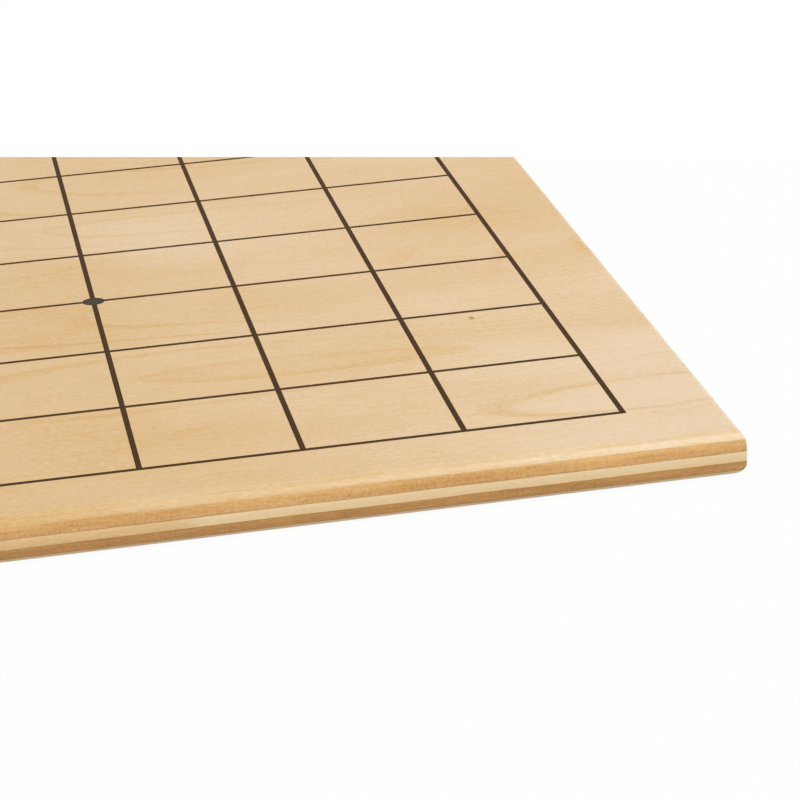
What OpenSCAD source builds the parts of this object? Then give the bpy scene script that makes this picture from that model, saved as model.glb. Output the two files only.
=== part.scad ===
// Flat go board of five-ply birch plywood, with rounded edges and a printed grid.
// Sizes are in millimetres. The origin is the centre of the underside, +Z is up,
// X runs along the front edge and Y along the longer sides.

/* [Grid] */
// Lines in each direction
line_count = 19; // [9, 13, 19]
// Spacing of the lengthwise lines, measured along the front edge
cell_w = 22; // [18:0.1:26]
// Spacing of the crosswise lines, measured along the sides
cell_l = 23.7; // [19:0.1:28]
// Line, counted from the edge of the grid, that carries the outer star points
star_line = 4; // [3, 4]
// Width of a printed line
line_w = 0.8; // [0.4:0.05:2]
// Diameter of a star point
star_d = 3.5; // [2.5:0.1:6]
// Thickness of the ink
ink_t = 0.02; // [0.01:0.01:0.2]

/* [Board] */
// Bare margin outside the outermost lengthwise lines
side_margin = 13.6; // [10:0.1:40]
// Bare margin outside the outermost crosswise lines
end_margin = 12.9; // [10:0.1:40]
// Radius of the rounding along the upper edges at the front and the back
end_upper_round = 3; // [0.5:0.1:3.5]
// Radius of the rounding along the upper edges at the sides
side_upper_round = 1.2; // [0.5:0.1:3.5]
// Radius of the rounding along the lower edges
lower_round = 2.4; // [0.5:0.1:2.7]
// Radius that eases the upright corners, seen from above
corner_r = 0.3; // [0.2:0.1:9]

/* [Plies] */
// Thickness of the face veneer, which carries the grid
face_t = 0.95; // [0.5:0.05:2]
// Thickness of the upper crossband, whose grain lies across that of its neighbours
upper_crossband_t = 1.3; // [0.9:0.05:3]
// Thickness of the core veneer
core_t = 1.3; // [0.9:0.05:6]
// Thickness of the lower crossband, whose grain lies across that of its neighbours
lower_crossband_t = 1.3; // [0.9:0.05:3]
// Thickness of the back veneer
back_t = 0.95; // [0.5:0.05:2]
// Thickness of the glue line between two plies
glue_t = 0.1; // [0.05:0.01:0.3]

/* [Hidden] */
$fn = 96;

grid_w = (line_count - 1) * cell_w;
grid_l = (line_count - 1) * cell_l;
board_w = grid_w + 2 * side_margin;
board_l = grid_l + 2 * end_margin;

// Height of the underside of each layer, from the back veneer up
back_z = 0;
back_glue_z = back_z + back_t;
lower_crossband_z = back_glue_z + glue_t;
lower_core_glue_z = lower_crossband_z + lower_crossband_t;
core_z = lower_core_glue_z + glue_t;
upper_core_glue_z = core_z + core_t;
upper_crossband_z = upper_core_glue_z + glue_t;
face_glue_z = upper_crossband_z + upper_crossband_t;
face_z = face_glue_z + glue_t;
board_t = face_z + face_t;

// Lines, counted from 0, that the three rows and the three columns of star points lie on
star_lines = [star_line - 1, floor((line_count - 1) / 2), line_count - star_line];
STAR_ROWS = ["front", "middle", "back"];
STAR_COLUMNS = ["left", "centre", "right"];

LAYER_NODES = [
    "back_veneer", "back_glue_line", "lower_crossband", "lower_core_glue_line", "core_veneer",
    "upper_core_glue_line", "upper_crossband", "face_glue_line", "face_veneer"
];
STAR_NODES = [for (row = [0:2]) for (column = [0:2]) star_name(row, column)];

function star_name(row, column) = str("star_point_", STAR_ROWS[row], "_", STAR_COLUMNS[column]);
function line_x(index) = index * cell_w - grid_w / 2;
function line_y(index) = index * cell_l - grid_l / 2;

// What a rounding of radius r takes off a square edge at the origin, with waste outside it
module rounding_waste(r) {
    difference() {
        square(2 * r, center = true);
        translate([-r, -r]) circle(r);
    }
}

// The board seen from above
module board_outline() {
    difference() {
        square([board_w, board_l], center = true);
        for (across = [0, 1]) for (along = [0, 1])
            mirror([across, 0]) mirror([0, along])
                translate([board_w / 2, board_l / 2]) rounding_waste(corner_r);
    }
}

// Section through the board over a span, with the roundings of the upper and the lower edges
module board_section(span, upper_round) {
    difference() {
        translate([-span / 2, 0]) square([span, board_t]);
        for (side = [0, 1]) mirror([side, 0]) {
            translate([span / 2, board_t]) rounding_waste(upper_round);
            translate([span / 2, 0]) mirror([0, 1]) rounding_waste(lower_round);
        }
    }
}

// The stretch of that section that a layer t thick, with its underside at z, takes up
module layer_section(z, t, span, upper_round) {
    intersection() {
        board_section(span, upper_round);
        translate([-span / 2, z]) square([span, t]);
    }
}

// One layer of the plywood: what the sections across and along the board and its outline share
module layer(z, t) {
    intersection() {
        rotate([90, 0, 0]) linear_extrude(board_l, center = true)
            layer_section(z, t, board_w, side_upper_round);
        rotate([90, 0, 90]) linear_extrude(board_w, center = true)
            layer_section(z, t, board_l, end_upper_round);
        linear_extrude(board_t) board_outline();
    }
}

// Outline of a star point on a crossing of the grid
module star_outline(row, column) {
    translate([line_x(star_lines[column]), line_y(star_lines[row])]) circle(d = star_d);
}

module back_veneer() color("#dfc393") layer(back_z, back_t);

module back_glue_line() color("#a5743f") layer(back_glue_z, glue_t);

module lower_crossband() color("#b2844b") layer(lower_crossband_z, lower_crossband_t);

module lower_core_glue_line() color("#a5743f") layer(lower_core_glue_z, glue_t);

module core_veneer() color("#e2c69a") layer(core_z, core_t);

module upper_core_glue_line() color("#a5743f") layer(upper_core_glue_z, glue_t);

module upper_crossband() color("#d4a56a") layer(upper_crossband_z, upper_crossband_t);

module face_glue_line() color("#a5743f") layer(face_glue_z, glue_t);

module face_veneer() color("#e9c596") layer(face_z, face_t);

// The lines are one film of ink, open where the star points are printed
module grid_lines() {
    color("#4f3a20") translate([0, 0, board_t]) linear_extrude(ink_t) difference() {
        for (index = [0:line_count - 1]) {
            translate([line_x(index), 0]) square([line_w, grid_l + line_w], center = true);
            translate([0, line_y(index)]) square([grid_w + line_w, line_w], center = true);
        }
        for (row = [0:2]) for (column = [0:2]) star_outline(row, column);
    }
}

module star_point(row, column) {
    color("#4b463f") translate([0, 0, board_t]) linear_extrude(ink_t) star_outline(row, column);
}

back_veneer();
back_glue_line();
lower_crossband();
lower_core_glue_line();
core_veneer();
upper_core_glue_line();
upper_crossband();
face_glue_line();
face_veneer();
grid_lines();
for (row = [0:2]) for (column = [0:2])
    star_point(row, column);
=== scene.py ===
import math

import bpy
from mathutils import Matrix, Vector


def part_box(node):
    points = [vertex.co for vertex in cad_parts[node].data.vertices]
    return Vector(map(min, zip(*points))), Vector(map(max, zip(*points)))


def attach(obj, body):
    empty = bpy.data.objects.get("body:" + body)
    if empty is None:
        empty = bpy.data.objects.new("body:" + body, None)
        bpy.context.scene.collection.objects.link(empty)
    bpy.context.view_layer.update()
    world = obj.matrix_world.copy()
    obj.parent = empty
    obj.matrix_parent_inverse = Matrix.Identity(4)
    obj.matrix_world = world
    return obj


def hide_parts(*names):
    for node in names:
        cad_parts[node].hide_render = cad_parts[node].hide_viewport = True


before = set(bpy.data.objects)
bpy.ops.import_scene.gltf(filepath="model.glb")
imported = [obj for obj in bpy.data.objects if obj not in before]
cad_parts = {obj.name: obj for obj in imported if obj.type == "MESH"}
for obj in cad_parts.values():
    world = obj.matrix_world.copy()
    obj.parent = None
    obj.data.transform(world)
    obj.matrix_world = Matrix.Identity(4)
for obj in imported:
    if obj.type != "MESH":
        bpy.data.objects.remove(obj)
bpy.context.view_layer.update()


# Veneers
# Five birch veneers, peeled from the log and pressed into one sheet with the grain turned a quarter at each
# ply. The cut board was rounded along its edges, so each ply shows its own strip of the rounding, and the
# strips wander a little because a pressed veneer is never quite even. A satin lacquer covers the wood.

MM = 0.001
CORNER_RADIUS = 0.3 * MM
END_UPPER_ROUND = 3.0 * MM
SIDE_UPPER_ROUND = 1.2 * MM
LOWER_ROUND = 2.4 * MM
PLY_WANDER = 0.06 * MM        # how far a glued joint strays from its plane
WANDER_LENGTH = 14.0 * MM     # length of the strays along the edge
JOINT_STEP = 0.6 * MM         # joints further apart than this stray on their own
NOISE_RANGE = (0.3, 0.7)      # the noise of the strays seldom leaves this range
CORNER_COLUMNS = 6            # mesh steps round an upright corner
SIDE_COLUMNS = 620            # mesh steps along a side
WALL_ROWS = 10                # rows of mesh points up the edge of a ply
CREASE = math.radians(35)     # edges that bend more than this stay crisp
WELD = 0.001 * MM             # points closer than this become one
FLAT_SHARE = 0.1              # a face with more of its corners at a pole is on the flat of its ply

scene = bpy.context.scene
core_low, core_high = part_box("core_veneer")
board_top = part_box("face_veneer")[1].z


def linear(colour):
    """An sRGB hex colour as the linear RGBA that a shader takes."""
    parts = [int(colour[i:i + 2], 16) / 255 for i in (1, 3, 5)]
    parts = [c / 12.92 if c <= 0.04045 else ((c + 0.055) / 1.055) ** 2.4 for c in parts]
    return (*parts, 1.0)


def add(tree, kind, inputs=(), **settings):
    """Adds a node with its settings and links. Its inputs are given by name, or as a list in their order,
    and each takes a value, a socket, or a node's first output."""
    node = tree.nodes.new(kind)
    for name, value in settings.items():
        setattr(node, name, value)
    given = inputs if isinstance(inputs, dict) else dict(enumerate(inputs))
    for key, value in given.items():
        if isinstance(value, bpy.types.Node):
            value = value.outputs[0]
        if isinstance(value, bpy.types.NodeSocket):
            tree.links.new(value, node.inputs[key])
        else:
            node.inputs[key].default_value = value
    return node


def new_tree(name, sizes, counts):
    """A Geometry Nodes tree with named inputs for lengths and counts, and one for the material."""
    tree = bpy.data.node_groups.new(name, "GeometryNodeTree")
    for label in sizes:
        tree.interface.new_socket(label, in_out="INPUT", socket_type="NodeSocketFloat")
    for label in counts:
        tree.interface.new_socket(label, in_out="INPUT", socket_type="NodeSocketInt")
    tree.interface.new_socket("Material", in_out="INPUT", socket_type="NodeSocketMaterial")
    tree.interface.new_socket("Mesh", in_out="OUTPUT", socket_type="NodeSocketGeometry")
    return tree, add(tree, "NodeGroupInput").outputs


def close_tree(tree, given, geometry):
    """Ends a tree: instances made real, material set."""
    real = add(tree, "GeometryNodeRealizeInstances", {"Geometry": geometry})
    painted = add(tree, "GeometryNodeSetMaterial", {"Geometry": real, "Material": given["Material"]})
    add(tree, "NodeGroupOutput", {"Mesh": painted})


def grow(name, tree, values):
    """Makes an object from a tree and its input values, and turns the result into a plain mesh."""
    piece = bpy.data.objects.new(name, bpy.data.meshes.new(name))
    scene.collection.objects.link(piece)
    modifier = piece.modifiers.new("shape", "NODES")
    modifier.node_group = tree
    for item in tree.interface.items_tree:
        if item.in_out == "INPUT":
            modifier[item.identifier] = values[item.name]
    evaluated = piece.evaluated_get(bpy.context.evaluated_depsgraph_get())
    mesh = bpy.data.meshes.new_from_object(evaluated)
    piece.modifiers.remove(modifier)
    piece.data = mesh
    return piece


def layer_tree():
    """One layer of the board: a closed skin round the outline, set in by the roundings at each height."""
    tree, given = new_tree(
        "board_layer",
        ("Width", "Length", "Corner radius", "End upper round", "Side upper round", "Lower round",
         "Thickness", "Bottom", "Top", "Bottom wander", "Top wander", "Wander length", "Joint step",
         "Crowding", "Crease"),
        ("Corner columns", "Side columns", "Rows"))

    # A sheet one wide and one long, whose columns will go round the board and whose rows go up its edge
    quarter = add(tree, "ShaderNodeMath", [given["Corner columns"], given["Side columns"]], operation="ADD")
    columns = add(tree, "ShaderNodeMath", [quarter, 4.0, 1.0], operation="MULTIPLY_ADD")
    rows = add(tree, "ShaderNodeMath", [given["Rows"], 2.0], operation="ADD")
    sheet = add(tree, "GeometryNodeMeshGrid",
                {"Size X": 1.0, "Size Y": 1.0, "Vertices X": columns, "Vertices Y": rows})
    unit = add(tree, "ShaderNodeSeparateXYZ", [add(tree, "GeometryNodeInputPosition")]).outputs
    row_gaps = add(tree, "ShaderNodeMath", [given["Rows"], 1.0], operation="ADD")
    row = add(tree, "ShaderNodeMapRange", [unit["Y"], -0.5, 0.5, 0.0, row_gaps])
    up = add(tree, "ShaderNodeMapRange", [row, 1.0, given["Rows"], 0.0, 1.0])

    # The first and the last row close the skin: all their points lie at the middle of the board
    half_row = add(tree, "ShaderNodeMath", [0.5, row_gaps], operation="DIVIDE")
    last_row = add(tree, "ShaderNodeMath", [0.5, half_row], operation="SUBTRACT")
    off_middle = add(tree, "ShaderNodeMath", [unit["Y"]], operation="ABSOLUTE")
    pole = add(tree, "ShaderNodeMath", [off_middle, last_row], operation="GREATER_THAN")
    on_edge = add(tree, "ShaderNodeMath", [1.0, pole], operation="SUBTRACT")

    # The outline from above: in each quarter a short bend round a corner, then a straight run to the next
    turned = add(tree, "ShaderNodeMath", [unit["X"], 4.0, 2.0], operation="MULTIPLY_ADD")
    corner = add(tree, "ShaderNodeMath", [turned], operation="FLOOR")
    part = add(tree, "ShaderNodeMath", [turned, corner], operation="SUBTRACT")
    bend_share = add(tree, "ShaderNodeMath", [given["Corner columns"], quarter], operation="DIVIDE")
    bend = add(tree, "ShaderNodeMapRange", [part, 0.0, bend_share, 0.0, 1.0])
    run = add(tree, "ShaderNodeMapRange", [part, bend_share, 1.0, 0.0, 1.0])
    bent = add(tree, "ShaderNodeMath", [corner, bend], operation="ADD")
    turn = add(tree, "ShaderNodeMath", [bent, math.pi / 2], operation="MULTIPLY")
    outline = {}
    for axis, span, circle in (("X", "Width", "COSINE"), ("Y", "Length", "SINE")):
        half = add(tree, "ShaderNodeMath", [given[span], 0.5], operation="MULTIPLY")
        reach = add(tree, "ShaderNodeMath", [half, given["Corner radius"]], operation="SUBTRACT")
        ends = []
        for diagonal in (math.pi / 4, math.pi * 3 / 4):
            bearing = add(tree, "ShaderNodeMath", [corner, math.pi / 2, diagonal], operation="MULTIPLY_ADD")
            towards = add(tree, "ShaderNodeMath", [bearing], operation=circle)
            side = add(tree, "ShaderNodeMath", [towards], operation="SIGN")
            ends.append(add(tree, "ShaderNodeMath", [side, reach], operation="MULTIPLY"))
        centre = add(tree, "ShaderNodeMapRange", [run, 0.0, 1.0, *ends])
        swing = add(tree, "ShaderNodeMath", [turn], operation=circle)
        outline[axis] = add(tree, "ShaderNodeMath", [swing, given["Corner radius"], centre],
                            operation="MULTIPLY_ADD")

    # The two joints of the layer stray from their planes, each by a noise that its neighbour shares.
    # Within the reach of the roundings a corner strays as one.
    steady = []
    for axis, span in (("X", "Width"), ("Y", "Length")):
        half = add(tree, "ShaderNodeMath", [given[span], 0.5], operation="MULTIPLY")
        reach = add(tree, "ShaderNodeMath", [half, given["End upper round"]], operation="SUBTRACT")
        other_side = add(tree, "ShaderNodeMath", [reach, -1.0], operation="MULTIPLY")
        held = add(tree, "ShaderNodeClamp", [outline[axis], other_side, reach])
        steady.append(add(tree, "ShaderNodeMath", [held, given["Wander length"]], operation="DIVIDE"))
    joints = []
    for side in ("Bottom", "Top"):
        level = add(tree, "ShaderNodeMath", [given[side], given["Joint step"]], operation="DIVIDE")
        spot = add(tree, "ShaderNodeCombineXYZ", [*steady, level])
        noise = add(tree, "ShaderNodeTexNoise",
                    {"Vector": spot, "Scale": 1.0, "Detail": 4.0, "Roughness": 0.6})
        stray = add(tree, "ShaderNodeMapRange", [noise, *NOISE_RANGE, -1.0, 1.0])
        most = add(tree, "ShaderNodeMath", [given[side + " wander"], on_edge], operation="MULTIPLY")
        joints.append(add(tree, "ShaderNodeMath", [stray, most, given[side]], operation="MULTIPLY_ADD"))

    # Height of a row, with the rows crowded towards the flat end of a rounding
    down = add(tree, "ShaderNodeMath", [1.0, up], operation="SUBTRACT")
    bulge = add(tree, "ShaderNodeMath", [up, down], operation="MULTIPLY")
    share = add(tree, "ShaderNodeMath", [bulge, given["Crowding"], up], operation="MULTIPLY_ADD")
    height = add(tree, "ShaderNodeMapRange", [share, 0.0, 1.0, *joints])

    # Each point is held inside the edge, as far in as the roundings are at its height
    place = {"Z": height}
    for axis, span, upper in (("X", "Width", "Side upper round"), ("Y", "Length", "End upper round")):
        reach = add(tree, "ShaderNodeMath", [given[span], 0.5], operation="MULTIPLY")
        start = add(tree, "ShaderNodeMath", [given["Thickness"], given[upper]], operation="SUBTRACT")
        into_upper = add(tree, "ShaderNodeMath", [height, start], operation="SUBTRACT")
        into_lower = add(tree, "ShaderNodeMath", [given["Lower round"], height], operation="SUBTRACT")
        for radius, depth in ((given[upper], into_upper), (given["Lower round"], into_lower)):
            depth = add(tree, "ShaderNodeClamp", [depth, 0.0, radius])
            radius_square = add(tree, "ShaderNodeMath", [radius, radius], operation="MULTIPLY")
            depth_square = add(tree, "ShaderNodeMath", [depth, depth], operation="MULTIPLY")
            left = add(tree, "ShaderNodeMath", [radius_square, depth_square], operation="SUBTRACT")
            out = add(tree, "ShaderNodeMath", [left], operation="SQRT")
            inset = add(tree, "ShaderNodeMath", [radius, out], operation="SUBTRACT")
            reach = add(tree, "ShaderNodeMath", [reach, inset], operation="SUBTRACT")
        other_side = add(tree, "ShaderNodeMath", [reach, -1.0], operation="MULTIPLY")
        held = add(tree, "ShaderNodeClamp", [outline[axis], other_side, reach])
        place[axis] = add(tree, "ShaderNodeMath", [held, on_edge], operation="MULTIPLY")

    # The skin is welded shut. Its faces on the flat of the ply are shaded flat, and those on its edge are
    # smooth between the creases.
    marked = add(tree, "GeometryNodeStoreNamedAttribute",
                 {"Geometry": sheet, "Name": "pole", "Value": pole}, data_type="FLOAT", domain="POINT")
    shaped = add(tree, "GeometryNodeSetPosition",
                 {"Geometry": marked, "Position": add(tree, "ShaderNodeCombineXYZ", place)})
    closed = add(tree, "GeometryNodeMergeByDistance", {"Geometry": shaped, "Distance": WELD})
    pole_share = add(tree, "GeometryNodeInputNamedAttribute", {"Name": "pole"}, data_type="FLOAT")
    on_wall = add(tree, "ShaderNodeMath", [pole_share, FLAT_SHARE], operation="LESS_THAN")
    smooth = add(tree, "GeometryNodeSetShadeSmooth", {"Geometry": closed, "Shade Smooth": on_wall})
    angle = add(tree, "GeometryNodeInputMeshEdgeAngle").outputs["Unsigned Angle"]
    gentle = add(tree, "ShaderNodeMath", [angle, given["Crease"]], operation="LESS_THAN")
    crisp = add(tree, "GeometryNodeSetShadeSmooth",
                {"Geometry": smooth, "Shade Smooth": gentle}, domain="EDGE")
    bare = add(tree, "GeometryNodeRemoveAttribute", {"Geometry": crisp, "Name": "pole"})
    close_tree(tree, given, bare)
    return tree


layers = layer_tree()


def board_layer(node, material, crowding=0.0, bottom_wander=PLY_WANDER, top_wander=PLY_WANDER):
    """The finer mesh of one layer, at the height of its CAD node."""
    low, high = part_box(node)
    return grow(node + "_shown", layers, {
        "Width": core_high.x - core_low.x, "Length": core_high.y - core_low.y,
        "Corner radius": CORNER_RADIUS, "End upper round": END_UPPER_ROUND,
        "Side upper round": SIDE_UPPER_ROUND, "Lower round": LOWER_ROUND, "Thickness": board_top,
        "Bottom": low.z, "Top": high.z, "Bottom wander": bottom_wander, "Top wander": top_wander,
        "Wander length": WANDER_LENGTH, "Joint step": JOINT_STEP, "Crowding": crowding, "Crease": CREASE,
        "Corner columns": CORNER_COLUMNS, "Side columns": SIDE_COLUMNS, "Rows": WALL_ROWS,
        "Material": material})


# Patterns of the wood: size along the grain, across it and through the ply in mm, detail, and weight.
# Real fibres are finer than the last rows, which are drawn as coarse as they need to be to show.
LONG_GRAIN = (
    (100.0, 50.0, 60.0, 2.0, 1.3),     # slow drift of the sapwood from pale to warm
    (24.0, 9.0, 9.0, 3.0, 0.45),       # soft mottling
    (8.0, 0.7, 0.5, 3.0, 0.5),         # bundles of fibre
    (0.9, 0.3, 0.3, 1.0, 1.0),         # single flecks
)
END_GRAIN = (
    (400.0, 40.0, 40.0, 2.0, 0.9),     # slow drift along the edge
    (400.0, 7.0, 0.35, 3.0, 1.0),      # growth layers in the ply
    (400.0, 0.25, 0.2, 2.0, 1.8),      # open vessels
)
GRAIN_RELIEF = 0.03 * MM
SATIN = (0.24, 0.32)                   # roughness of the lacquer, from pale wood to dark

# Patches of paler or warmer wood: place, half length along the grain and half width in mm, and warmth.
# A fade is the shares of that size at which a patch starts to fade and is gone.
FACE_PATCHES = (
    (208.0, -214.0, 34.0, 26.0, -0.32),
    (198.0, -187.0, 26.0, 10.0, -0.36),
    (176.0, -152.0, 34.0, 11.0, 0.22),
    (126.0, -136.0, 18.0, 40.0, 0.12),
    (206.0, -106.0, 50.0, 26.0, 0.28),
    (150.0, -84.0, 60.0, 24.0, 0.26),
    (-60.0, -150.0, 95.0, 30.0, 0.22),
    (-120.0, 60.0, 110.0, 32.0, -0.22),
    (70.0, 120.0, 100.0, 36.0, 0.22),
)
FACE_FADE = (0.2, 1.3)
CORE_PATCHES = ((57.5, -226.0, 80.0, 30.0, 0.75), (-130.0, 226.0, 60.0, 30.0, 0.6))
CORE_FADE = (0.97, 1.03)

# Figure of the peeled face: sizes along the grain, across it and through the ply in mm, and strengths in
# steps of warmth. A pattern's seed is added to the seed of its ply, so that no two patterns agree.
WAVE_SEED = 7.0
WAVE_SIZES = (170.0, 48.0, 48.0)       # a slow wave, whose contours are the growth lines
WAVE_CONTOURS = 16.0                   # lines over the height of the wave
LINE_RISE = (0.7, 1.0)                 # share of the way to the next line over which the wood darkens
STRETCH_SEED = 3.0
STRETCH_SIZES = (60.0, 25.0, 25.0)     # stretches of the face in which the lines show
STRETCH_RANGE = (0.45, 0.7)            # noise there at which a line starts to show and shows in full
LINE_STRENGTH = 0.36
# Almonds of closed growth lines: place, half length and half width in mm
GROWTH_EYES = ((205.0, -207.0, 23.5, 5.5), (-70.0, 118.0, 44.0, 9.0), (-150.0, -96.0, 34.0, 7.0))
WOBBLE_SIZES = (11.0, 11.0, 11.0)      # bends in the rim of an almond
WOBBLE_REACH = 3.0 * MM
GAP_SEED = 5.0
GAP_SIZES = (16.0, 6.0, 6.0)           # gaps in the rim
GAP_RANGE = (0.35, 0.6)                # noise there at which a gap ends and the rim is whole
RIM_STRENGTHS = (0.1, 0.38)            # in a gap and outside it
RIM_FADE = (0.02, 0.15)                # shares of the almond's size over which the rim fades on both sides
CLEARING = (1.2, 3.0)                  # sizes of the almond between which other growth lines come in
PALE_INSIDE = (0.6, 1.1)               # sizes of the almond between which its paler inside ends
PALENESS = -0.15
# Dead buds, dark specks about a millimetre across, given as the patches are
PIN_KNOTS = (
    (186.3, -168.9, 0.36, 0.65, 1.9),
    (-31.0, 52.0, 0.3, 0.5, 1.5),
    (74.0, 171.0, 0.4, 0.65, 1.8),
    (-127.0, -168.0, 0.35, 0.55, 1.6),
)
KNOT_FADE = (0.3, 1.7)


def grain(tree, vector, seed, sizes, detail):
    """Adds a noise that is drawn out to these sizes in mm."""
    scale = [1 / (size * MM) for size in sizes]
    sized = add(tree, "ShaderNodeMapping", {"Vector": vector, "Location": (0.0, 0.0, seed), "Scale": scale})
    return add(tree, "ShaderNodeTexNoise", {"Vector": sized, "Scale": 1.0, "Detail": detail})


def oval(tree, vector, x, y, half_length, half_width):
    """Adds the distance from a place, as a share of the half length and half width there, all in mm."""
    centre = (x * MM, y * MM, 0.0)
    shares = (1 / (half_length * MM), 1 / (half_width * MM), 0.0)
    aside = add(tree, "ShaderNodeVectorMath", [vector, centre], operation="SUBTRACT")
    aside = add(tree, "ShaderNodeVectorMath", [aside, shares], operation="MULTIPLY")
    return add(tree, "ShaderNodeVectorMath", [aside], operation="LENGTH").outputs["Value"]


def add_patches(tree, where, patches, fade, warmth):
    """Adds patches of paler or warmer wood to the warmth."""
    for *shape, amount in patches:
        ring = oval(tree, where, *shape)
        patch = add(tree, "ShaderNodeMapRange", [ring, *fade, amount, 0.0], interpolation_type="SMOOTHSTEP")
        warmth = add(tree, "ShaderNodeMath", [warmth, patch], operation="ADD")
    return warmth


def face_figure(tree, where, along, seed, warmth):
    """Adds the growth lines, closed eyes and dead buds of a peeled face to the warmth of the wood."""
    # Contours of a slow wave, which show here and there
    wave = grain(tree, along, seed + WAVE_SEED, WAVE_SIZES, 1.5)
    contours = add(tree, "ShaderNodeMath", [wave, WAVE_CONTOURS], operation="MULTIPLY")
    between = add(tree, "ShaderNodeMath", [contours], operation="FRACT")
    dark = add(tree, "ShaderNodeMapRange", [between, *LINE_RISE, 0.0, 1.0], interpolation_type="SMOOTHSTEP")
    stretch = grain(tree, along, seed + STRETCH_SEED, STRETCH_SIZES, 1.0)
    shows = add(tree, "ShaderNodeMapRange", [stretch, *STRETCH_RANGE, 0.0, LINE_STRENGTH])
    line = add(tree, "ShaderNodeMath", [dark, shows], operation="MULTIPLY")

    # Almonds of closed growth lines, bent and broken here and there, and paler inside
    wobble = grain(tree, where, 0.0, WOBBLE_SIZES, 1.0).outputs["Color"]
    wobble = add(tree, "ShaderNodeVectorMath", [wobble, (0.5, 0.5, 0.5)], operation="SUBTRACT")
    wobble = add(tree, "ShaderNodeVectorMath", {0: wobble, "Scale": WOBBLE_REACH}, operation="SCALE")
    bent = add(tree, "ShaderNodeVectorMath", [where, wobble], operation="ADD")
    gap = grain(tree, along, seed + GAP_SEED, GAP_SIZES, 1.0)
    broken = add(tree, "ShaderNodeMapRange", [gap, *GAP_RANGE, *RIM_STRENGTHS])
    for eye in GROWTH_EYES:
        ring = oval(tree, bent, *eye)
        outside = add(tree, "ShaderNodeMath", [ring, 1.0], operation="SUBTRACT")
        off = add(tree, "ShaderNodeMath", [outside], operation="ABSOLUTE")
        near = add(tree, "ShaderNodeMapRange", [off, *RIM_FADE, 1.0, 0.0], interpolation_type="SMOOTHSTEP")
        rim = add(tree, "ShaderNodeMath", [near, broken], operation="MULTIPLY")
        others = add(tree, "ShaderNodeMapRange", [ring, *CLEARING, 0.0, 1.0])
        line = add(tree, "ShaderNodeMath", [line, others], operation="MULTIPLY")
        line = add(tree, "ShaderNodeMath", [line, rim], operation="ADD")
        paler = add(tree, "ShaderNodeMapRange", [ring, *PALE_INSIDE, PALENESS, 0.0])
        line = add(tree, "ShaderNodeMath", [line, paler], operation="ADD")
    warmth = add(tree, "ShaderNodeMath", [warmth, line], operation="ADD")
    return add_patches(tree, where, PIN_KNOTS, KNOT_FADE, warmth)


def new_material(name):
    """A material with nothing in its tree, and the tree."""
    material = bpy.data.materials.new(name)
    material.use_nodes = True
    material.node_tree.nodes.clear()
    return material, material.node_tree


def birch(node, turned, seed, soak_and_shade, end_slopes, long_tones, end_tones):
    """Lacquered birch veneer. Peeled long grain gives a pale, softly mottled face with short flecks;
    cut across, the open vessels drink the lacquer and the wood turns brown and finely dotted."""
    material, tree = new_material("birch_" + node)
    where = add(tree, "ShaderNodeTexCoord").outputs["Object"]
    quarters = (0.0, 0.0, math.radians(90 * turned))
    along = add(tree, "ShaderNodeMapping", {"Vector": where, "Rotation": quarters})

    # Warmer at the underside of a ply and paler at its top: partly the pressed glue that soaks in, partly
    # painted shade.
    # The painted shade stands for the light from above, which reaches the top of a ply's edge more than its
    # underside.
    low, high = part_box(node)
    height = add(tree, "ShaderNodeSeparateXYZ", [where]).outputs["Z"]
    soaked_and_shaded = add(tree, "ShaderNodeMapRange", [height, low.z, high.z, soak_and_shade / 2, -soak_and_shade / 2])
    amounts = []
    for patterns in (LONG_GRAIN, END_GRAIN):
        middle = 0.5 - sum(pattern[-1] for pattern in patterns) / 2
        amount = add(tree, "ShaderNodeMath", [soaked_and_shaded, middle], operation="ADD")
        for *sizes, detail, weight in patterns:
            noise = grain(tree, along, seed, sizes, detail)
            amount = add(tree, "ShaderNodeMath", [noise, weight, amount], operation="MULTIPLY_ADD")
        amounts.append(amount)
    warmth, darkness = amounts
    if node == "face_veneer":
        warmth = add_patches(tree, where, FACE_PATCHES, FACE_FADE, warmth)
        warmth = face_figure(tree, where, along, seed, warmth)
    if node == "core_veneer":
        warmth = add_patches(tree, where, CORE_PATCHES, CORE_FADE, warmth)

    # Long grain goes from pale to warm at a warmth of 1 and to brown at 2, end grain from light to dark
    pale, warm, brown = [linear(tone) for tone in long_tones]
    light, dark = [linear(tone) for tone in end_tones]
    ground = add(tree, "ShaderNodeMix", {"Factor": warmth, "A": pale, "B": warm},
                 data_type="RGBA").outputs["Result"]
    browned = add(tree, "ShaderNodeMapRange", [warmth, 1.0, 2.0, 0.0, 1.0])
    long_grain = add(tree, "ShaderNodeMix", {"Factor": browned, "A": ground, "B": brown},
                     data_type="RGBA").outputs["Result"]
    end_grain = add(tree, "ShaderNodeMix", {"Factor": darkness, "A": light, "B": dark},
                    data_type="RGBA").outputs["Result"]

    # End grain shows where the surface faces along the grain
    normal = add(tree, "ShaderNodeNewGeometry").outputs["Normal"]
    facing = add(tree, "ShaderNodeSeparateXYZ", [normal]).outputs["Y" if turned else "X"]
    across = add(tree, "ShaderNodeMath", [facing], operation="ABSOLUTE")
    ends = add(tree, "ShaderNodeMapRange", [across, *end_slopes, 0.0, 1.0], interpolation_type="SMOOTHSTEP")
    colour = add(tree, "ShaderNodeMix", {"Factor": ends, "A": long_grain, "B": end_grain},
                 data_type="RGBA").outputs["Result"]
    relief = add(tree, "ShaderNodeMix", {"Factor": ends, "A": warmth, "B": darkness}, data_type="FLOAT")
    bump = add(tree, "ShaderNodeBump", {"Height": relief, "Strength": 0.35, "Distance": GRAIN_RELIEF})
    rough = add(tree, "ShaderNodeMapRange", [relief, 0.0, 1.0, *SATIN])
    surface = add(tree, "ShaderNodeBsdfPrincipled",
                  {"Base Color": colour, "Normal": bump, "Roughness": rough, "IOR": 1.5})
    add(tree, "ShaderNodeOutputMaterial", {"Surface": surface})
    return material


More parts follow.
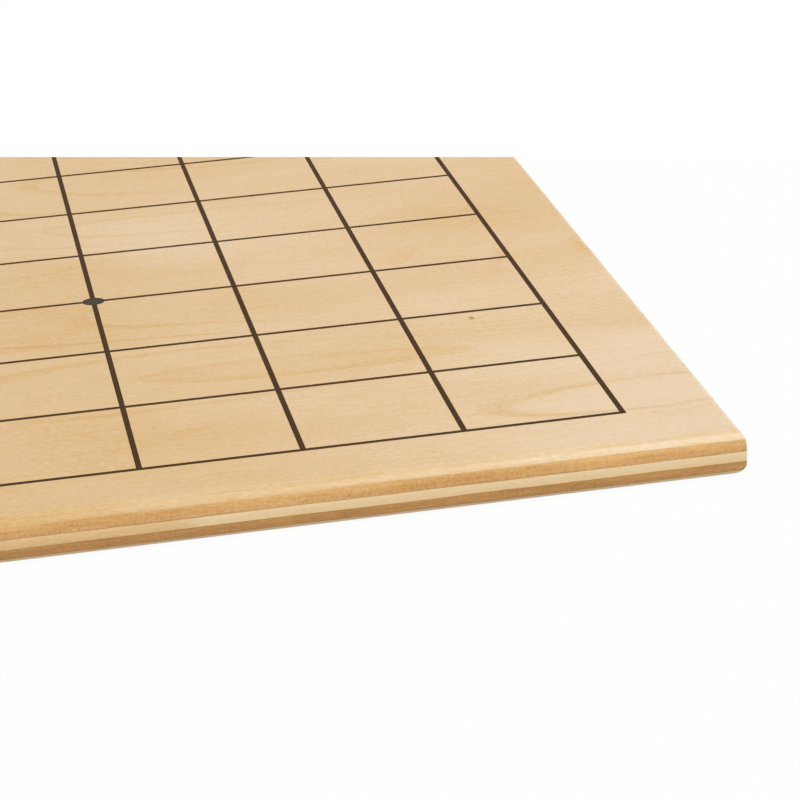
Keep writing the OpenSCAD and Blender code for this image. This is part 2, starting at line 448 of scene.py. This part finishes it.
PALE_ENDS = ("#dfb987", "#c39762")
BAND_TONES = ("#e2c294", "#d3a468", "#b98850")
LATE_ENDS = (0.7, 1.0)        # end grain only where the surface all but faces along the grain
EARLY_ENDS = (0.05, 0.4)      # end grain as soon as the surface tilts along the grain
# Quarters turned, seed, soak of the glue with painted shade, slopes at which end grain starts and is full,
# tones along and across the grain, slot
VENEERS = {
    # Painted shade: the back veneer's tones are darker than the face veneer's, for the shade on the lower
    # rounding.
    "back_veneer": (0, 71.0, 0.0, LATE_ENDS, ("#deba80", "#c8a05c", "#b08044"), PALE_ENDS, "birch_face"),
    # Painted shade: the lower crossband's end-grain tones are darker than the upper's, for the
    # downward-facing lower edge.
    "lower_crossband": (1, 52.0, 0.3, EARLY_ENDS, BAND_TONES, ("#d39d54", "#a36f2c"), "birch_crossband"),
    "core_veneer": (0, 33.0, 0.4, LATE_ENDS, ("#fae2b6", "#ecc588", "#c8985a"), PALE_ENDS, "birch_inner"),
    "upper_crossband": (1, 14.0, 0.45, EARLY_ENDS, BAND_TONES, ("#edbd79", "#c38a42"), "birch_crossband"),
    "face_veneer": (0, 397.5, 0.0, LATE_ENDS, ("#eed0a5", "#daa850", "#b17c38"), PALE_ENDS, "birch_face"),
}
CROWDING = {"back_veneer": -1.0, "face_veneer": 1.0}
for node, (*look, slot) in VENEERS.items():
    bottom_wander = 0.0 if node == "back_veneer" else PLY_WANDER
    top_wander = 0.0 if node == "face_veneer" else PLY_WANDER
    ply = board_layer(node, birch(node, *look), CROWDING.get(node, 0.0), bottom_wander, top_wander)
    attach(ply, "root")
    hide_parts(node)


# Glue lines
# Thin films of hardened resin between the plies, pressed hot, which hold the board together.
# On the rounded edge each shows as a fine line in the tone of the end grain that drinks it.

# The tones darken from the face joint down to the back joint: they follow the end grain beside them, and
# with it the painted shade of the edge's lower part.
GLUE_TONES_AND_SHADE = {
    "back_glue_line": ("#9c6c34", "#aa7a40"), "lower_core_glue_line": ("#ae7f46", "#bc8d52"),
    "upper_core_glue_line": ("#c2904e", "#cfa05e"), "face_glue_line": ("#dcae70", "#e6bd82"),
}
STARVED_SIZES = (5.0, 5.0, 5.0)        # mm, spots where the plies drank the glue
STARVED_RANGE = (0.35, 0.65)           # noise there at which the film starts to thin and is thinnest
GLUE_ROUGHNESS = (0.45, 0.55)


def resin(node, dark, faint):
    """Cured wood glue, sanded with the edge: dull, dark where it is thick and woody where it is starved."""
    material, tree = new_material("wood_glue_" + node.removesuffix("_glue_line"))
    where = add(tree, "ShaderNodeTexCoord").outputs["Object"]
    spots = grain(tree, where, 0.0, STARVED_SIZES, 3.0)
    thin = add(tree, "ShaderNodeMapRange", [spots, *STARVED_RANGE, 0.0, 1.0])
    colour = add(tree, "ShaderNodeMix", {"Factor": thin, "A": linear(dark), "B": linear(faint)},
                 data_type="RGBA").outputs["Result"]
    rough = add(tree, "ShaderNodeMapRange", [thin, 0.0, 1.0, *GLUE_ROUGHNESS])
    surface = add(tree, "ShaderNodeBsdfPrincipled",
                  {"Base Color": colour, "Roughness": rough, "IOR": 1.5, "Specular IOR Level": 0.2})
    add(tree, "ShaderNodeOutputMaterial", {"Surface": surface})
    return material


for node, tones in GLUE_TONES_AND_SHADE.items():
    film = board_layer(node, resin(node, *tones))
    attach(film, "root")
    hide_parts(node)


# Grid lines
# The playing grid, printed on the face veneer in one pass of dark brown ink, under the lacquer.
# It is one film: the ink of the lines runs together at the crossings.

LINE_COUNT = 19
LINE_WIDTH = 0.8 * MM
INK_THICKNESS = 0.016 * MM             # a little under the star points, which lie over the crossings
FIBRE_SIZES = (3.0, 0.4, 3.0)          # mm, bundles of fibre that take more or less of the ink
FIBRE_RANGE = (0.35, 0.75)             # noise there at which they take all of it and the least
INK_ROUGHNESS = (0.55, 0.65)


def grid_tree():
    """The printed lines as one film: a sheet with a column and a row for each line, its cells left out."""
    tree, given = new_tree(
        "printed_grid", ("Width", "Length", "Line width", "Bottom", "Thickness"), ("Lines",))
    edges = add(tree, "ShaderNodeMath", [given["Lines"], 2.0], operation="MULTIPLY")
    steps = add(tree, "ShaderNodeMath", [edges, 1.0], operation="SUBTRACT")
    gaps = add(tree, "ShaderNodeMath", [given["Lines"], 1.0], operation="SUBTRACT")
    sheet = add(tree, "GeometryNodeMeshGrid",
                {"Size X": 1.0, "Size Y": 1.0, "Vertices X": edges, "Vertices Y": edges})
    unit = add(tree, "ShaderNodeSeparateXYZ", [add(tree, "GeometryNodeInputPosition")]).outputs

    # Each line takes two steps of the sheet, one for each of its sides
    place = {"Z": given["Bottom"]}
    counted = sheet
    for axis, span in (("X", "Width"), ("Y", "Length")):
        step = add(tree, "ShaderNodeMapRange", [unit[axis], -0.5, 0.5, 0.0, steps])
        whole = add(tree, "ShaderNodeMath", [step], operation="ROUND")
        counted = add(tree, "GeometryNodeStoreNamedAttribute",
                      {"Geometry": counted, "Name": "step_" + axis, "Value": whole},
                      data_type="FLOAT", domain="POINT")
        pairs = add(tree, "ShaderNodeMath", [whole, 0.5], operation="MULTIPLY")
        line = add(tree, "ShaderNodeMath", [pairs], operation="FLOOR")
        side = add(tree, "ShaderNodeMath", [whole, 2.0], operation="MODULO")
        inner = add(tree, "ShaderNodeMath", [given[span], given["Line width"]], operation="SUBTRACT")
        cell = add(tree, "ShaderNodeMath", [inner, gaps], operation="DIVIDE")
        start = add(tree, "ShaderNodeMath", [given[span], -0.5], operation="MULTIPLY")
        at_line = add(tree, "ShaderNodeMath", [line, cell, start], operation="MULTIPLY_ADD")
        place[axis] = add(tree, "ShaderNodeMath", [side, given["Line width"], at_line],
                          operation="MULTIPLY_ADD")
    laid = add(tree, "GeometryNodeSetPosition",
               {"Geometry": counted, "Position": add(tree, "ShaderNodeCombineXYZ", place)})

    # A face that lies between two lines both ways is an open cell
    between = []
    for axis in ("X", "Y"):
        step = add(tree, "GeometryNodeInputNamedAttribute", {"Name": "step_" + axis}, data_type="FLOAT")
        side = add(tree, "ShaderNodeMath", [step, 2.0], operation="MODULO")
        between.append(add(tree, "ShaderNodeMath", [side, 1.0], operation="GREATER_THAN"))
    cells = add(tree, "ShaderNodeMath", between, operation="MULTIPLY")
    network = add(tree, "GeometryNodeDeleteGeometry", {"Geometry": laid, "Selection": cells},
                  domain="FACE", mode="ALL")
    for axis in ("X", "Y"):
        network = add(tree, "GeometryNodeRemoveAttribute", {"Geometry": network, "Name": "step_" + axis})

    # The network is raised to the thickness of the ink and closed from below
    raised = add(tree, "GeometryNodeExtrudeMesh",
                 {"Mesh": network, "Offset": (0.0, 0.0, 1.0), "Offset Scale": given["Thickness"],
                  "Individual": False}, mode="FACES")
    under = add(tree, "GeometryNodeFlipFaces", {"Mesh": network})
    both = add(tree, "GeometryNodeJoinGeometry", {"Geometry": raised})
    tree.links.new(under.outputs[0], both.inputs["Geometry"])
    closed = add(tree, "GeometryNodeMergeByDistance", {"Geometry": both, "Distance": WELD})
    close_tree(tree, given, closed)
    return tree


def printing_ink(name, dark, worn):
    """Screen ink on wood: almost black brown and dull, a shade lighter where the fibres took less of it."""
    material, tree = new_material(name)
    where = add(tree, "ShaderNodeTexCoord").outputs["Object"]
    fibres = grain(tree, where, 0.0, FIBRE_SIZES, 3.0)
    spared = add(tree, "ShaderNodeMapRange", [fibres, *FIBRE_RANGE, 0.0, 1.0])
    colour = add(tree, "ShaderNodeMix", {"Factor": spared, "A": linear(dark), "B": linear(worn)},
                 data_type="RGBA").outputs["Result"]
    rough = add(tree, "ShaderNodeMapRange", [spared, 0.0, 1.0, *INK_ROUGHNESS])
    surface = add(tree, "ShaderNodeBsdfPrincipled",
                  {"Base Color": colour, "Roughness": rough, "IOR": 1.5, "Specular IOR Level": 0.05})
    add(tree, "ShaderNodeOutputMaterial", {"Surface": surface})
    return material


line_ink = printing_ink("line_ink", "#3c250a", "#50350f")
grid_low, grid_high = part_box("grid_lines")
grid = grow("grid_lines_shown", grid_tree(), {
    "Width": grid_high.x - grid_low.x, "Length": grid_high.y - grid_low.y, "Line width": LINE_WIDTH,
    "Bottom": grid_low.z, "Thickness": INK_THICKNESS, "Lines": LINE_COUNT, "Material": line_ink})
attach(grid, "root")
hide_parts("grid_lines")


# Star points
# Nine round dots on the crossings that players count from, printed with the lines.
# Each is a disc of ink whose rim thins out into the wood.

STAR_SIDES = 48
RIM_STEPS = 4                 # mesh steps up the rim
RIM_THINNING = 0.06           # share of the radius that the upper rim draws in


def star_tree():
    """A disc of ink with a soft rim, at a place on the board."""
    tree, given = new_tree("star_point", ("X", "Y", "Bottom", "Thickness", "Radius", "Rim"), ("Sides",))
    disc = add(tree, "GeometryNodeMeshCylinder",
               {"Vertices": given["Sides"], "Side Segments": RIM_STEPS, "Radius": given["Radius"],
                "Depth": given["Thickness"]}, fill_type="NGON").outputs["Mesh"]

    # The rim draws in with the square of the height
    spot = add(tree, "GeometryNodeInputPosition")
    level = add(tree, "ShaderNodeSeparateXYZ", [spot]).outputs["Z"]
    off_middle = add(tree, "ShaderNodeMath", [level, given["Thickness"]], operation="DIVIDE")
    rise = add(tree, "ShaderNodeMath", [off_middle, 0.5], operation="ADD")
    rise_square = add(tree, "ShaderNodeMath", [rise, rise], operation="MULTIPLY")
    thinned = add(tree, "ShaderNodeMath", [rise_square, given["Rim"]], operation="MULTIPLY")
    scale = add(tree, "ShaderNodeMath", [1.0, thinned], operation="SUBTRACT")
    across = add(tree, "ShaderNodeCombineXYZ", [scale, scale, 1.0])
    drawn = add(tree, "ShaderNodeVectorMath", [spot, across], operation="MULTIPLY")

    middle = add(tree, "ShaderNodeMath", [given["Thickness"], 0.5, given["Bottom"]],
                 operation="MULTIPLY_ADD")
    seat = add(tree, "ShaderNodeCombineXYZ", [given["X"], given["Y"], middle])
    place = add(tree, "ShaderNodeVectorMath", [drawn, seat], operation="ADD")
    shaped = add(tree, "GeometryNodeSetPosition", {"Geometry": disc, "Position": place})
    close_tree(tree, given, shaped)
    return tree


# The dots take a greyer copy of the lines' ink: a painted sheen.
star_ink_and_sheen = printing_ink("star_ink_and_sheen", "#40352a", "#54463a")
stars = star_tree()
for node in sorted(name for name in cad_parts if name.startswith("star_point")):
    low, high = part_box(node)
    star = grow(node + "_shown", stars, {
        "X": (low.x + high.x) / 2, "Y": (low.y + high.y) / 2, "Bottom": low.z, "Thickness": high.z - low.z,
        "Radius": (high.x - low.x) / 2, "Rim": RIM_THINNING, "Sides": STAR_SIDES, "Material": star_ink_and_sheen})
    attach(star, "root")
    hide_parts(node)


# Table top
# A plain white table under the board. To the eye it is white up to the board's own faint shadow,
# and to the board it is matt white card that throws light back up at the edges.

TABLE_HALF = 6.0              # metres from its middle to its edges
TABLE_DROP = 0.05 * MM
TABLE_WHITE = 0.96            # share of plain white in what the eye sees; the rest is the lit card
WHITE = linear("#ffffff")


def seen_directly(tree):
    """Adds the share of rays that come from the camera, also by way of a gloss or a clear surface."""
    rays = add(tree, "ShaderNodeLightPath").outputs
    seen = add(tree, "ShaderNodeMath", [rays["Is Camera Ray"], rays["Is Glossy Ray"]], operation="ADD")
    return add(tree, "ShaderNodeMath", [seen, rays["Is Transmission Ray"]], operation="ADD")


def flat_sheet(name, corners, material):
    """A flat sheet with these four corners."""
    mesh = bpy.data.meshes.new(name)
    mesh.from_pydata(corners, [], [(0, 1, 2, 3)])
    mesh.materials.append(material)
    sheet = bpy.data.objects.new(name, mesh)
    scene.collection.objects.link(sheet)
    return sheet


# White card, matt and a little grey where light falls on it
card, card_tree = new_material("white_card")
share = add(card_tree, "ShaderNodeMath", [seen_directly(card_tree), TABLE_WHITE], operation="MULTIPLY")
matt = add(card_tree, "ShaderNodeBsdfDiffuse", {"Color": linear("#f6f6f6")})
white = add(card_tree, "ShaderNodeEmission", {"Color": WHITE, "Strength": 1.0})
mixed = add(card_tree, "ShaderNodeMixShader", [share, matt, white])
add(card_tree, "ShaderNodeOutputMaterial", {"Surface": mixed})
table_corners = [(x * TABLE_HALF, y * TABLE_HALF, -TABLE_DROP)
                 for x, y in ((-1, -1), (1, -1), (1, 1), (-1, 1))]
table_top = flat_sheet("table_top", table_corners, card)


# Light
# A white room with a soft lamp over the right of the board, a faint one behind it and a broad fill
# from the front.

ROOM_LEVEL = 0.455            # strength of the room's light on the board; to the eye the room is white

room = bpy.data.worlds.new("white_room")
scene.world = room
room.use_nodes = True
room_tree = room.node_tree
room_tree.nodes.clear()
level = add(room_tree, "ShaderNodeMapRange", [seen_directly(room_tree), 0.0, 1.0, ROOM_LEVEL, 1.0])
glow = add(room_tree, "ShaderNodeBackground", {"Color": WHITE, "Strength": level})
add(room_tree, "ShaderNodeOutputWorld", {"Surface": glow})


def soft_lamp(name, place, aim, width, height, watts):
    """A soft box at a place, turned to a point, with its lengths in metres."""
    data = bpy.data.lights.new(name, "AREA")
    data.shape = "RECTANGLE"
    data.size = width
    data.size_y = height
    data.energy = watts
    lamp = bpy.data.objects.new(name, data)
    scene.collection.objects.link(lamp)
    lamp.location = place
    lamp.rotation_mode = "QUATERNION"
    lamp.rotation_quaternion = (Vector(aim) - Vector(place)).to_track_quat("-Z", "Y")
    lamp.visible_camera = False


soft_lamp("overhead_lamp", (0.65, -0.3, 1.1), (0.5, -0.3, 0.0), width=0.7, height=0.9, watts=7.2)
soft_lamp("back_lamp", (0.28, 0.68, 1.25), (0.16, -0.2, 0.0), width=0.5, height=1.1, watts=1.8)
soft_lamp("front_fill", (-0.1, -1.8, 0.2), (0.1, -0.2, 0.0), width=1.4, height=0.3, watts=3.6)


# Camera
# At the photograph's place, solved from the printed crossings: a long lens in front of the board, which
# looks down at its front right corner.

CAMERA_PLACE = Vector((108.2 * MM, -570.3 * MM, 144.2 * MM + board_top))
CAMERA_LENS = 130.56          # mm
SENSOR_WIDTH = 36.0           # mm
LOOK_DOWN = math.radians(20.97)
LOOK_RIGHT = math.radians(9.42)
ROLL = math.radians(-3.194)

forward = Vector((math.sin(LOOK_RIGHT) * math.cos(LOOK_DOWN), math.cos(LOOK_RIGHT) * math.cos(LOOK_DOWN),
                  -math.sin(LOOK_DOWN)))
level_right = Vector((math.cos(LOOK_RIGHT), -math.sin(LOOK_RIGHT), 0.0))
level_up = level_right.cross(forward)
right = level_right * math.cos(ROLL) + level_up * math.sin(ROLL)
up = level_up * math.cos(ROLL) - level_right * math.sin(ROLL)
facing = Matrix((right, up, -forward)).transposed().to_4x4()
camera_data = bpy.data.cameras.new("photo_camera")
camera_data.lens = CAMERA_LENS
camera_data.sensor_width = SENSOR_WIDTH
camera_data.clip_start = 1.0 * MM
camera = bpy.data.objects.new("photo_camera", camera_data)
scene.collection.objects.link(camera)
camera.matrix_world = Matrix.Translation(CAMERA_PLACE) @ facing
scene.camera = camera
scene.view_settings.view_transform = "Standard"


# Crop card
# The photograph is cropped straight across above the board's near corner and is white beyond that line.
# A slip of white paper just in front of the lens crops the picture there. Only the camera sees it.

FRAME_PIXELS = 800
CROP_ROW = 157                # first row of the photograph that shows the board
PAPER_DISTANCE = 2.0 * MM
PAPER_OVERLAP = 1.1           # how far the paper reaches past the frame

frame_width = PAPER_DISTANCE * SENSOR_WIDTH / CAMERA_LENS
crop_height = frame_width * (0.5 - CROP_ROW / FRAME_PIXELS)
reach = frame_width / 2 * PAPER_OVERLAP
middle = CAMERA_PLACE + forward * PAPER_DISTANCE
corners = ((-reach, crop_height), (reach, crop_height), (reach, reach), (-reach, reach))
# White paper, which is as white as the table whatever light falls on it
paper_white, paper_tree = new_material("white_paper")
plain = add(paper_tree, "ShaderNodeEmission", {"Color": WHITE, "Strength": 1.0})
add(paper_tree, "ShaderNodeOutputMaterial", {"Surface": plain})
paper = flat_sheet("crop_card", [middle + right * x + up * y for x, y in corners], paper_white)
paper.visible_diffuse = False
paper.visible_glossy = False
paper.visible_transmission = False
paper.visible_volume_scatter = False
paper.visible_shadow = False
